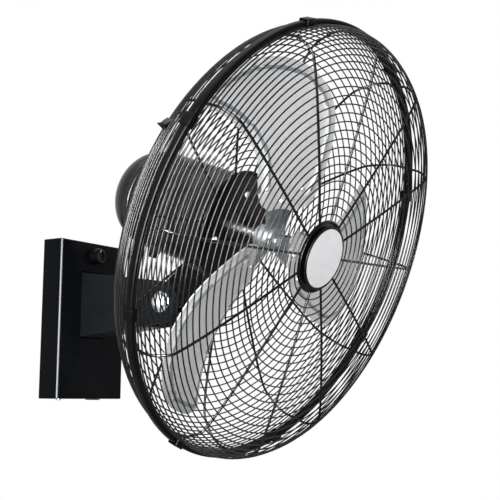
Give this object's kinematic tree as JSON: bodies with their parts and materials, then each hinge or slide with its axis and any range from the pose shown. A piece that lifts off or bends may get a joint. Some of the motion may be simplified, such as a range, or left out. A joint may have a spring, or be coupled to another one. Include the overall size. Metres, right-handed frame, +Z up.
{
  "type": "wall mounted fan",
  "caption": "Wall mounted fan: a wall box with a speed knob, an arm with a tilt pivot, a motor, a round wire guard and a metal impeller that blows forward.",
  "frame": {"origin": "centre of the wall box's back face, in the plane of the wall", "axes": "+Y into the wall, +Z up, +X to the right of someone who faces the wall; the fan blows towards -Y and downwards"},
  "size_m": [0.584, 0.51, 0.5498],
  "materials": {
    "gloss_black": "gloss paint",
    "powder_black": "satin powder coat",
    "motor_black": "semi-gloss paint",
    "blade_aluminium": "satin",
    "zinc_steel": "bright zinc plate",
    "bright_steel": "ground",
    "lamination": "laminated core",
    "silver_disc": "satin",
    "black_plastic": "satin",
    "white_plastic": "matt"
  },
  "bodies": {
    "wall_bracket": {"back_plate": "zinc_steel", "box_cover": "gloss_black", "bracket_arm": "gloss_black", "arm_bolt_1": "zinc_steel", "arm_bolt_2": "zinc_steel", "arm_bolt_3": "zinc_steel", "arm_bolt_4": "zinc_steel", "cover_screw_1": "zinc_steel", "cover_screw_2": "zinc_steel", "speed_switch": "black_plastic", "switch_nut": "zinc_steel", "run_capacitor": "white_plastic", "terminal_block": "white_plastic", "cord_gland": "black_plastic", "tilt_bolt": "zinc_steel", "tilt_washer": "bright_steel", "tilt_nut": "zinc_steel"},
    "knob": {"speed_knob": "black_plastic"},
    "tilting_head": {"tilt_yoke": "powder_black", "yoke_bolt_1": "zinc_steel", "yoke_bolt_2": "zinc_steel", "motor_housing": "motor_black", "motor_rear_cap": "motor_black", "motor_front_cover": "motor_black", "stator": "lamination", "motor_gland": "black_plastic", "rear_bearing": "bright_steel", "front_bearing": "bright_steel", "rear_guard": "powder_black", "guard_screw_1": "zinc_steel", "guard_screw_2": "zinc_steel", "guard_screw_3": "zinc_steel", "rim_band": "powder_black", "rim_clip_1": "powder_black", "rim_clip_2": "powder_black", "rim_clip_3": "powder_black", "rim_clip_4": "powder_black", "rim_clip_5": "powder_black", "rim_clip_6": "powder_black", "rim_clip_7": "powder_black", "rim_clip_8": "powder_black", "front_guard": "powder_black", "badge_dish": "black_plastic", "badge_disc": "silver_disc"},
    "impeller": {"motor_shaft": "bright_steel", "rotor_core": "lamination", "blade_hub": "blade_aluminium", "hub_screw": "bright_steel", "blade_1": "blade_aluminium", "blade_2": "blade_aluminium", "blade_3": "blade_aluminium", "blade_rivet_1_1": "zinc_steel", "blade_rivet_1_2": "zinc_steel", "blade_rivet_1_3": "zinc_steel", "blade_rivet_2_1": "zinc_steel", "blade_rivet_2_2": "zinc_steel", "blade_rivet_2_3": "zinc_steel", "blade_rivet_3_1": "zinc_steel", "blade_rivet_3_2": "zinc_steel", "blade_rivet_3_3": "zinc_steel"}
  },
  "joints": [
    {"name": "tilt", "type": "hinge", "parent": "wall_bracket", "child": "tilting_head", "pos_m": [0, -0.1834, 0.0192], "axis": [1, 0, 0], "range_deg": [-20.7, 24.3]},
    {"name": "spin", "type": "hinge", "parent": "tilting_head", "child": "impeller", "pos_m": [0, -0.37552, 0.086], "axis": [0, -0.9354, -0.3535], "continuous": true},
    {"name": "speed_turn", "type": "hinge", "parent": "wall_bracket", "child": "knob", "pos_m": [0, -0.0355, 0.0945], "axis": [0, 1, 0], "range_deg": [0, 270]}
  ]
}
